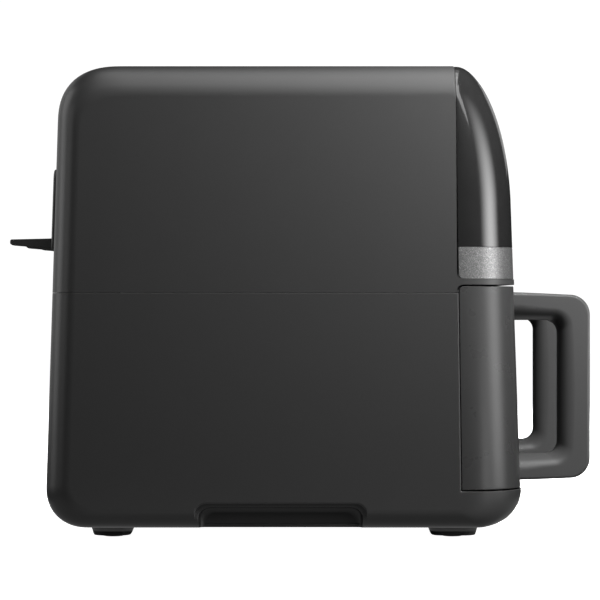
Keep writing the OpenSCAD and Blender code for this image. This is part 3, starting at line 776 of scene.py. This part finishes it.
def upper_housing():
    """The shell above the seam, with the bar between the band and the drawers."""
    low = SEAM_Z + SEAM_HIGH
    r = OPENING_R
    y_low = seam_y(BAR_BOTTOM)
    y_high = seam_y(BAR_TOP)
    outline = [(seam_y(low), low), (seam_y(BAR_BOTTOM - r), BAR_BOTTOM - r)]
    outline += arc(y_low - r, BAR_BOTTOM - r, r, 0, 90)
    outline += [(-FAR, BAR_BOTTOM), (-FAR, BAR_TOP)]
    outline += arc(y_high - r, BAR_TOP + r, r, -90, 0)
    outline += [(seam_y(FAR), FAR), (FAR, FAR), (FAR, low)]
    bm = form_skin(0.0)
    trim(bm, outline)
    vent_z = (VENT[0].z + VENT[1].z) / 2
    window = rounded_outline(VENT[1].x - 10, (VENT[1].z - VENT[0].z) / 2 - 8, 4)
    trim(bm, moved(window, 0, vent_z), 1, False, on_rear)
    thicken_housing(bm, WALL, 0.12, 0.9)
    make_piece("upper_shell", bm, "upper_housing")


def on_rear(co):
    """Whether a point lies on the rear of the housing."""
    return co.y > 120


def hold_outline(grow):
    """Outline of a hand hold seen from the side, open at the underside."""
    r = 8.0
    half = HOLD_L / 2 + grow
    top = HOLD_TOP + grow
    points = [(HOLD_MID + half, -8.0)]
    points += arc(HOLD_MID + half - r, top - r, r, 0, 90, 10)
    points += arc(HOLD_MID - half + r, top - r, r, 90, 180, 10)
    return points + [(HOLD_MID - half, -8.0)]


def hold_cutter(side):
    """The hollow of a hand hold: a rounded rim, a ledge and a pocket."""
    levels = [[(side * (HALF_W - depth), y, z) for y, z in hold_outline(grow)]
              for depth, grow in HOLD_PROFILE]
    return stacked(levels)


def lower_housing():
    """The shell below the seam, with a hand hold in each side."""
    high = SEAM_Z + SEAM_LOW
    outline = [(FAR, high), (FAR, -FAR), (-FAR, -FAR), (-FAR, SILL_TOP),
               (seam_y(SILL_TOP), SILL_TOP), (seam_y(high), high)]
    bm = form_skin(0.0)
    for side in (LEFT, RIGHT):
        bm = carved(bm, hold_cutter(side))
    trim(bm, outline)
    middle = (BASE[0] + BASE[1]) / 2
    half = (BASE[1] - BASE[0]) / 2
    opening = moved(rounded_outline(half.x + 0.4, half.y + 0.4, 10), middle.x, middle.y)
    trim(bm, opening, 2, False, lambda c: c.z < BOTTOM_Z + 8 and abs(c.x) < 160)
    centre = (INLET[0] + INLET[1]) / 2
    trim(bm, arc(centre.x, centre.z, INLET_HOLE_R, 0, 350, 35), 1, False, on_rear)

    def depth(co):
        near_hold = (abs(co.y - HOLD_MID) < HOLD_L / 2 + 5 and co.z < HOLD_TOP + 5
                     and abs(co.x) > HALF_W - 19)
        return 0.8 if near_hold else WALL

    thicken_housing(bm, depth, 0.28, 1.2)
    make_piece("lower_shell", bm, "lower_housing")


def control_panel():
    """The gloss panel that wraps round the front from side to side."""
    low = BAND_TOP + 0.08
    outline = [(-FAR, low), (seam_y(low) - SEEN_GAP, low),
               (seam_y(FAR) - SEEN_GAP, FAR), (-FAR, FAR)]
    bm = form_skin(PANEL_IN)
    trim(bm, outline)
    thicken(bm, PANEL_SKIN, 0.1)
    make_piece("panel_shell", bm, "control_panel")


def accent_band():
    """The flake band under the panel, its low rear corners rounded."""
    low = BAR_TOP + 0.15
    high = BAND_TOP - 0.08
    r = OPENING_R - SEEN_GAP
    edge = seam_y(low) - SEEN_GAP
    outline = [(-FAR, low)] + arc(edge - r, low + r, r, -90, 0)
    outline += [(seam_y(high) - SEEN_GAP, high), (-FAR, high)]
    bm = form_skin(PANEL_IN)
    trim(bm, outline)
    thicken(bm, PANEL_SKIN, 0.25)
    make_piece("band_shell", bm, "accent_band")


def drawer_block(side, t, inset):
    """The room inside a drawer's front, t behind the form, inset from its edges."""
    bm = form_skin(t)
    for co, no in (((0, 0, DRAWER_HIGH - inset), (0, 0, 1)),
                   ((0, 0, DRAWER_LOW + inset), (0, 0, -1)),
                   ((side * (DRAWER_GAP + inset), 0, 0), (-side, 0, 0))):
        capped_cut(bm, co, no)
    return bm


def drawer_walls(side):
    """The top, the underside and the inner wall behind the shell of a drawer."""
    lap = 0.05
    r = DRAWER_R - lap
    bm = drawer_block(side, DRAWER_IN + DRAWER_SKIN - 0.3, lap)
    capped_cut(bm, (0, seam_y(0) - DRAWER_BACK - lap, 0), (0, 1, -SEAM_LEAN))
    y = seam_y(DRAWER_HIGH) - DRAWER_BACK - DRAWER_R
    z = DRAWER_HIGH - DRAWER_R
    for turn in (15, 30, 45, 60, 75):
        t = math.radians(turn)
        capped_cut(bm, (0, y + r * math.cos(t), z + r * math.sin(t)),
                   (0, math.cos(t), math.sin(t)))
    bmesh.ops.recalc_face_normals(bm, faces=bm.faces)
    hollow = drawer_block(side, DRAWER_IN + DRAWER_SKIN + 0.1, DRAWER_SKIN)
    bmesh.ops.recalc_face_normals(hollow, faces=hollow.faces)
    return carved(bm, hollow)


def drawer_front(side, name):
    """The outer shell of one drawer's front, with the walls behind it."""
    edge = seam_y(DRAWER_HIGH) - DRAWER_BACK
    outline = [(-FAR, DRAWER_LOW), (seam_y(DRAWER_LOW) - DRAWER_BACK, DRAWER_LOW)]
    outline += arc(edge - DRAWER_R, DRAWER_HIGH - DRAWER_R, DRAWER_R, 0, 90)
    outline += [(-FAR, DRAWER_HIGH)]
    bm = form_skin(DRAWER_IN)
    trim(bm, outline)
    cut_plane(bm, (side * DRAWER_GAP, 0, 0), (-side, 0, 0))
    clean(bm)
    thicken(bm, DRAWER_SKIN, 0.55)
    whole = merged([bm, drawer_walls(side)])
    make_piece(f"drawer_shell_{name}", whole, f"drawer_front_{name}", f"drawer_{name}")


# --- Handle ----------------------------------------------------------------


# Heights of the roots, of the arch and of the finger opening.
ROOT_LOW, ROOT_HIGH = 37.0, 172.0
ARCH_LOW, ARCH_HIGH = 38.0, 170.6
OPEN_LOW, OPEN_HIGH = 55.3, 152.1
# The opening's outer end, and how far the roots reach into the drawer's front.
OPEN_Y, ROOT_IN = -190.1, 2.0
# Corners of the arch and of the opening, edge fillet, and rounding of the grip.
ARCH_R, OPEN_R, FILLET_R, GRIP_R = 14.5, 9.0, 2.4, 12.0


def loop_path(far_y, low, high, r, from_root, to_root):
    """A D seen from the side: its top root, round the grip, and its low root."""
    path = from_root + arc(far_y + r, high - r, r, 90, 180, 14)
    path += [(far_y, low + r + (high - low - 2 * r) * i / 10) for i in range(9, 0, -1)]
    return path + arc(far_y + r, low + r, r, 180, 270, 14) + to_root


def grip_ring(half, thick):
    """Section of the loop: X from its middle, and depth in from its outside."""
    ring = arc(half - FILLET_R, FILLET_R, FILLET_R, -90, 0)
    for k in range(13):
        t = math.radians(90 * k / 12)
        ring.append((half * math.cos(t), thick - GRIP_R + GRIP_R * math.sin(t)))
    return ring + [(-x, w) for x, w in reversed(ring[:-1])]


def handle(side, name):
    """A D loop: flat outside with small fillets, rounded on the finger side."""
    half = (HANDLE[1].x - HANDLE[0].x) / 2
    top_y = face_y(ROOT_HIGH, DRAWER_IN)
    low_y = face_y(ROOT_LOW, DRAWER_IN)
    outer = loop_path(HANDLE[0].y, ARCH_LOW, ARCH_HIGH, ARCH_R,
                      [(top_y + ROOT_IN, ROOT_HIGH + 0.4), (top_y - 10, ROOT_HIGH + 0.2),
                       (top_y - 26, ROOT_HIGH - 0.5)],
                      [(low_y - 26, ROOT_LOW + 0.4), (low_y - 10, ROOT_LOW - 0.2),
                       (low_y + ROOT_IN, ROOT_LOW - 0.4)])
    inner = loop_path(OPEN_Y, OPEN_LOW, OPEN_HIGH, OPEN_R,
                      [(top_y + out, OPEN_HIGH) for out in (ROOT_IN, -7, -14)],
                      [(low_y + out, OPEN_LOW) for out in (-14, -7, ROOT_IN)])
    bm = bmesh.new()
    rows = []
    for (oy, oz), (iy, iz) in zip(outer, inner):
        o = Vector((0, oy, oz))
        across = Vector((0, iy, iz)) - o
        thick = across.length
        d = across / thick
        rows.append([bm.verts.new((ZONE_X * side + x, *(o + d * w)[1:]))
                     for x, w in grip_ring(half, thick)])
    tube_faces(bm, rows)
    bm.faces.new(rows[0])
    bm.faces.new(reversed(rows[-1]))
    bmesh.ops.recalc_face_normals(bm, faces=bm.faces)
    make_piece(f"handle_loop_{name}", bm, f"handle_{name}", f"drawer_{name}")


# --- Rear ------------------------------------------------------------------


def outward_of(co, half_w, half_h, mid, corner_r):
    """Outward direction and distance of a point from a rounded panel's core."""
    core_x = max(-half_w + corner_r, min(half_w - corner_r, co.x))
    core_z = max(mid - half_h + corner_r, min(mid + half_h - corner_r, co.z))
    away = Vector((co.x - core_x, 0, co.z - core_z))
    length = away.length
    return (away / length if length > 1e-6 else Vector((0, 0, 1))), length


def roll_back(bm, rim, outward, r, depth, steps=4):
    """Rolls a rim of a rear face over at radius r, and on to depth ahead of it."""
    rings = {}
    for v in dict.fromkeys(v for e in rim for v in e.verts):
        away = outward(v.co)[0]
        rings[v] = [v]
        for k in range(1, steps + 1):
            t = math.radians(90 * k / steps)
            shift = away * r * math.sin(t) - Vector((0, r * (1 - math.cos(t)), 0))
            rings[v].append(bm.verts.new(v.co + shift))
        rings[v].append(bm.verts.new(v.co + away * r - Vector((0, depth, 0))))
    for e in rim:
        a, b = e.link_loops[0].vert, e.link_loops[0].link_loop_next.vert
        for k in range(steps + 1):
            bm.faces.new((rings[b][k], rings[a][k], rings[a][k + 1], rings[b][k + 1]))


def rear_vent():
    """The raised exhaust panel with its rows of slots."""
    mid = (VENT[0].z + VENT[1].z) / 2
    half_w, half_h = VENT[1].x, (VENT[1].z - VENT[0].z) / 2
    r, corner_r = 1.6, 7.0
    columns, row_pitch = 4, 6
    bm = form_skin(-VENT_OUT)
    face = rounded_outline(half_w - r, half_h - r, corner_r - r)
    trim(bm, moved(face, 0, mid), 1)
    front_half = [f for f in bm.faces if f.calc_center_median().y < 0]
    bmesh.ops.delete(bm, geom=front_half, context="FACES")
    column = (2 * half_w - 16) / columns
    slot = rounded_outline(half_w / columns - 5, 1.5, 1.4, 4)
    z = VENT[0].z + 15
    while z < VENT[1].z - 6:
        for i in range(columns):
            trim(bm, moved(slot, (i - (columns - 1) / 2) * column, z), 1, False)
        z += row_pitch

    def outward(co):
        return outward_of(co, half_w, half_h, mid, corner_r)

    rim = [e for e in bm.edges if e.is_boundary and all(
        abs(v.co.x) > half_w - r - 0.1 or abs(v.co.z - mid) > half_h - r - 0.1
        or outward(v.co)[1] > corner_r - r - 0.1 for v in e.verts)]
    roll_back(bm, rim, outward, r, VENT_OUT - 0.1)
    thicken(bm, 1.6, 0.3)
    make_piece("vent_panel", bm, "rear_vent")


def rear_spacer():
    """Two stepped arms on a cross plate, each end rounded off."""
    arm_w = 12.0
    pitch = SPACER[1].x - SPACER[0].x - arm_w
    tip_y = SPACER[1].y
    low, high = SPACER[0].z, SPACER[1].z
    start = face_y((low + high) / 2, -VENT_OUT, REAR) + 0.05
    step = tip_y - 12
    arm = [(start, low), (step - 1.5, low + 1.8), (step, high - 6.1), (tip_y - 2, high - 5.3),
           (tip_y, high - 4.1), (tip_y, high - 1.6), (tip_y - 0.8, high - 0.8), (start, high)]
    parts = [prism(arm, x * pitch / 2 - arm_w / 2, x * pitch / 2 + arm_w / 2, 0, 0.45)
             for x in (-1, 1)]
    half = pitch / 2 - arm_w / 2 - 0.02
    plate_y = 180.5
    plate = [(start, low + 0.8), (plate_y, low + 0.8), (plate_y, high - 0.5), (start, high - 0.5)]
    parts.append(prism(plate, -half, half, 0))
    make_piece("spacer_arms", merged(parts), "rear_spacer")


def cord_inlet():
    """The bush that the mains lead goes in through."""
    centre = (INLET[0] + INLET[1]) / 2
    y = INLET[1].y
    place = (centre.x, y, centre.z)
    profile = [(4.2, -8.6), (4.2, -0.9), (4.5, -0.3), (5.1, 0.0), (10.9, 0.0), (11.6, -0.3),
               (12.0, -1.0), (12.0, -2.9), (9.0, -2.9), (9.0, -8.6)]
    make_piece("inlet_bush", lathed(profile, place, 1, 48), "cord_inlet", flat=False)


# --- Feet ------------------------------------------------------------------


def foot(node):
    """A foot with a slanted inner side and a recess for its pad."""
    low, high = cad(node)
    centre = (low + high) / 2
    inward = -1 if centre.y > 0 else 1
    half_x, half_y = (high.x - low.x) / 2, (high.y - low.y) / 2
    top = BOTTOM_Z - 0.05
    # Height, how much narrower in X and in Y, shift inwards and corner radius.
    steps = ((top, 0, 0, 0, 9), (top - 1.3, 0, 0, 0, 9), (top - 1.9, 0.15, 0.2, -0.15, 8.9),
             (2.0, 1.9, 1.8, -0.4, 8), (1.45, 2.2, 2.2, -0.5, 7.8), (1.2, 3.0, 3.0, -0.5, 7.2))
    levels = []
    for z, shrink_x, shrink_y, shift, r in steps:
        outline = rounded_outline(half_x - shrink_x, half_y - shrink_y, r, 10)
        levels.append([(x, y, z) for x, y in
                       moved(outline, centre.x, centre.y + inward * shift)])
    recess_r = PAD_R + 0.4
    underside = steps[-1][0]
    ring = []
    for x, y, _ in levels[-1]:
        away = Vector((x - centre.x, y - centre.y, 0)).normalized()
        ring.append((centre.x + away.x * recess_r, centre.y + away.y * recess_r, underside))
    levels.append(ring)
    levels.append([(x, y, PAD_TOP) for x, y, _ in ring])
    make_piece(f"{node}_body", stacked(levels), node)


def foot_pads():
    """Four domed rubber pads."""
    profile = [(0, 0.0), (6.4, 0.0), (7.5, 0.25), (8.2, 0.8), (8.5, 1.6), (8.5, 3.3),
               (8.2, PAD_TOP - 0.02), (0, PAD_TOP - 0.02)]
    x, front, rear = PADS[1].x - PAD_R, PADS[0].y + PAD_R, PADS[1].y - PAD_R
    parts = [lathed(profile, (s * x, y, 0), 2) for s in (LEFT, RIGHT) for y in (front, rear)]
    make_piece("pad_set", merged(parts), "foot_pads")


# --- Pans ------------------------------------------------------------------


def pan(side, name):
    """A drawn pan: rounded floor edge, straight walls, rolled rim."""
    low, high = PAN
    middle_x = side * (low.x + high.x) / 2
    rim = 3.0
    front = low.y
    mid_y = (front + high.y - rim) / 2
    half_x, half_y = (high.x - low.x) / 2 - rim, (high.y - rim - front) / 2
    wall, r, bend = 1.2, 24.0, 5.5
    base, top = low.z, high.z

    def ring(inset, z, flange=0.0):
        """A level of the wall; the flange reaches out at the sides and the rear."""
        outline = rounded_outline(half_x - inset + flange, half_y - inset + flange / 2,
                                  max(r - inset + flange, 4), 10)
        return [(x, y, z) for x, y in moved(outline, middle_x, mid_y + flange / 2)]

    turns = [math.radians(15 * k) for k in range(7)]
    levels = [ring(bend * (1 - math.sin(t)), base + bend * (1 - math.cos(t))) for t in turns]
    levels += [ring(0, top - 2.4), ring(0.0, top - 2.0, 0.4), ring(0.0, top - 1.8, rim - 0.5),
               ring(0.0, top - 1.4, rim - 0.1), ring(0.0, top - 0.6, rim - 0.1),
               ring(0.0, top, rim - 0.7), ring(wall - 0.6, top), ring(wall - 0.1, top - 0.3),
               ring(wall, top - 0.9)]
    tight = bend - wall
    levels += [ring(wall + tight * (1 - math.cos(t)), base + bend - tight * math.sin(t))
               for t in turns]
    make_piece(f"pan_shell_{name}", stacked(levels), f"pan_{name}", f"drawer_{name}")


# --- Panel marks -----------------------------------------------------------


def on_panel(outline, lift=0.05, sunk=0.25):
    """A flat mark in X and Z, laid on the front of the panel."""
    bm = bmesh.new()
    outer = [bm.verts.new((x, face_y(z, PANEL_IN) - lift, z)) for x, z in outline]
    inner = [bm.verts.new((x, face_y(z, PANEL_IN) + sunk, z)) for x, z in outline]
    bm.faces.new(outer)
    bm.faces.new(reversed(inner))
    count = len(outline)
    for i in range(count):
        j = (i + 1) % count
        bm.faces.new((outer[i], inner[i], inner[j], outer[j]))
    bmesh.ops.recalc_face_normals(bm, faces=bm.faces)
    return bm


def ring_mark(x, z, r, width):
    """Outline of a printed ring, open by a few degrees at its right."""
    return arc(x, z, r, 3, 357, 36) + arc(x, z, r - width, 3, 357, 36)[::-1]


def panel_marks():
    """A dark display and generic touch symbols: rings, dots and strokes."""
    mid_z = (DISPLAY[0].z + DISPLAY[1].z) / 2
    half_w = DISPLAY[1].x
    window = moved(rounded_outline(half_w + 2, 13, 4), 0, mid_z)
    make_piece("display_window", on_panel(window, 0.03), "display_module", flat=False,
               slot="display_black", stands_in=False)
    minus = rounded_outline(3.2, 0.35, 0.3, 3)
    upright = rounded_outline(0.35, 3.2, 0.3, 3)
    dot = rounded_outline(1.3, 1.3, 1.2, 4)
    ring_places, dot_pitch, dots_below = (68, 88, 108), 26, 24
    strokes = []
    for side in (LEFT, RIGHT):
        for x in ring_places:
            strokes.append(ring_mark(side * x, mid_z, 7.0, 0.55))
            strokes.append(moved(minus, side * x, mid_z))
        strokes.append(moved(upright, side * ring_places[-1], mid_z))
    for i in range(-3, 4):
        strokes.append(moved(dot, i * dot_pitch, mid_z - dots_below))
    obj = make_piece("touch_marks", merged([on_panel(s) for s in strokes]), "control_panel",
                     flat=False, slot="band_silver", stands_in=False)
    obj.data.materials[0] = print_white("panel print", (0.55, 0.55, 0.56))


# --- Scene -----------------------------------------------------------------


def faded(data):
    """Softens a lamp towards its sides and its top, like the cloth of a softbox."""
    data.use_nodes = True
    tree = data.node_tree

    def fade(source, outer, inner):
        node = add_node(tree, "ShaderNodeMapRange", interpolation_type="SMOOTHSTEP")
        node.inputs["From Min"].default_value = outer
        node.inputs["From Max"].default_value = inner
        tree.links.new(source, node.inputs["Value"])
        return node.outputs["Result"]

    def math_node(operation, *sources):
        node = add_node(tree, "ShaderNodeMath", operation=operation)
        for socket, source in zip(node.inputs, sources):
            if isinstance(source, float):
                socket.default_value = source
            else:
                tree.links.new(source, socket)
        return node.outputs[0]

    split = tree.nodes.new("ShaderNodeSeparateXYZ")
    place = tree.nodes.new("ShaderNodeNewGeometry")
    tree.links.new(place.outputs["Parametric"], split.inputs[0])
    off_centre = math_node("ABSOLUTE", math_node("SUBTRACT", split.outputs[0], 0.5))
    level = math_node("MULTIPLY", fade(off_centre, 0.5, 0.0), fade(split.outputs[1], 1.0, 0.35))
    tree.links.new(level, tree.nodes["Emission"].inputs["Strength"])


def soft_light(name, place, aim, size, power, fade=False, glossy=True):
    """A rectangular lamp that the camera doesn't see."""
    data = bpy.data.lights.new(name, "AREA")
    data.shape = "RECTANGLE"
    data.size, data.size_y = size
    data.energy = power
    if fade:
        faded(data)
    obj = bpy.data.objects.new(name, data)
    obj.visible_glossy = glossy
    obj.location = place
    obj.rotation_euler = (Vector(aim) - Vector(place)).to_track_quat("-Z", "Y").to_euler()
    obj.visible_camera = False
    bpy.context.scene.collection.objects.link(obj)


def studio_world():
    """White to look at, dimmer as a light."""
    world = bpy.data.worlds.new("studio")
    world.use_nodes = True
    tree = world.node_tree
    back = tree.nodes["Background"]
    path = tree.nodes.new("ShaderNodeLightPath")
    level = tree.nodes.new("ShaderNodeMapRange")
    level.inputs["To Min"].default_value = WORLD_LIGHT
    level.inputs["To Max"].default_value = 1.05
    tree.links.new(path.outputs["Is Camera Ray"], level.inputs["Value"])
    tree.links.new(level.outputs["Result"], back.inputs["Strength"])
    back.inputs["Color"].default_value = (1, 1, 1, 1)
    bpy.context.scene.world = world


def studio_floor():
    """A pale floor that takes the object's shadow but throws no light on it."""
    bm = bmesh.new()
    bmesh.ops.create_grid(bm, x_segments=8, y_segments=8, size=6000)
    floor = to_object("floor", bm, smooth=False)
    s = Shader("pale floor", Roughness=0.9, Specular_IOR_Level=0.1,
               Emission_Color=(1, 1, 1, 1), Emission_Strength=FLOOR_GLOW)
    s.colour(s.ramp(s.noise(3.0, 3.0), [(0.3, (0.84, 0.84, 0.84)), (0.7, (0.88, 0.88, 0.88))]))
    floor.data.materials.append(s.mat)
    floor.visible_diffuse = False
    floor.visible_glossy = False


def studio_camera():
    """Square to the left side, a little above its middle."""
    camera = bpy.data.cameras.new("camera")
    camera.sensor_width = 36.0
    camera.lens = 152.6
    camera.clip_end = 50.0
    eye = bpy.data.objects.new("camera", camera)
    eye.location = (-1.95, -0.0029, 0.1667)
    eye.rotation_euler = (math.radians(90), 0, math.radians(-90))
    bpy.context.scene.collection.objects.link(eye)
    bpy.context.scene.camera = eye
    bpy.context.scene.view_settings.view_transform = "Standard"


WORLD_LIGHT = 0.01
FLOOR_GLOW = 1.0
# Each lamp: its place, the point it faces, its size and its power in watts,
# and where it says so, whether it fades to its edges and whether it mirrors.
LAMPS = {
    "key": ((-1.3, -0.7, 0.9), (-0.19, -0.12, 0.2), (0.85, 0.85), 7.4),
    "front softbox": ((-0.425, -0.798, 0.3), (-0.185, -0.14, 0.25), (0.68, 0.6), 8.0, True),
    "front low": ((-0.68, -0.58, 0.05), (-0.185, -0.14, 0.1), (0.3, 0.3), 1.0, True),
    "right rim": ((1.36, -0.86, 0.62), (-0.17, -0.14, 0.27), (0.6, 0.4), 0.35),
    "near key": ((-0.36, -0.32, 0.52), (-0.19, -0.12, 0.2), (0.15, 0.15), 15.5, False, False),
    "top left": ((-0.5, 0.0, 1.3), (-0.1, 0.0, 0.3), (0.9, 1.3), 7.5),
    "top": ((0.0, 0.0, 1.3), (0.0, 0.0, 0.3), (0.9, 0.9), 1.2),
    "top edge": ((-0.7, -0.1, 0.95), (-0.15, -0.1, 0.3), (0.5, 1.0), 3.0),
    "rear": ((-0.15, 1.3, 0.6), (-0.15, 0.15, 0.2), (0.7, 1.2), 7.5),
    "rear middle": ((0.35, 1.1, 0.6), (-0.15, 0.15, 0.2), (0.7, 1.2), 1.7),
    "rear left": ((-0.9, 1.2, 0.45), (-0.05, 0.18, 0.2), (0.5, 0.8), 2.2),
    "rear right": ((0.9, 0.9, 0.6), (-0.15, 0.15, 0.2), (0.7, 1.2), 1.5),
    "under": ((0.0, 0.008, 0.004), (0.0, 0.008, 1.0), (0.52, 0.46), 0.3),
    "right fill": ((1.5, -0.4, 1.0), (0.19, 0.0, 0.15), (1.0, 1.0), 30.0, False, False),
    "front fill": ((0.4, -1.8, 0.7), (0.05, -0.15, 0.15), (1.0, 1.0), 9.0, False, False),
}
studio_world()
studio_floor()
studio_camera()
for LAMP, SET in LAMPS.items():
    soft_light(LAMP, *SET)

paint_frame()
upper_housing()
lower_housing()
control_panel()
accent_band()
rear_vent()
rear_spacer()
cord_inlet()
foot_pads()
panel_marks()
for END in ("front", "rear"):
    for SIDE, SIDE_NAME in SIDES:
        foot(f"foot_{END}_{SIDE_NAME}")
for SIDE, SIDE_NAME in SIDES:
    drawer_front(SIDE, SIDE_NAME)
    handle(SIDE, SIDE_NAME)
    pan(SIDE, SIDE_NAME)
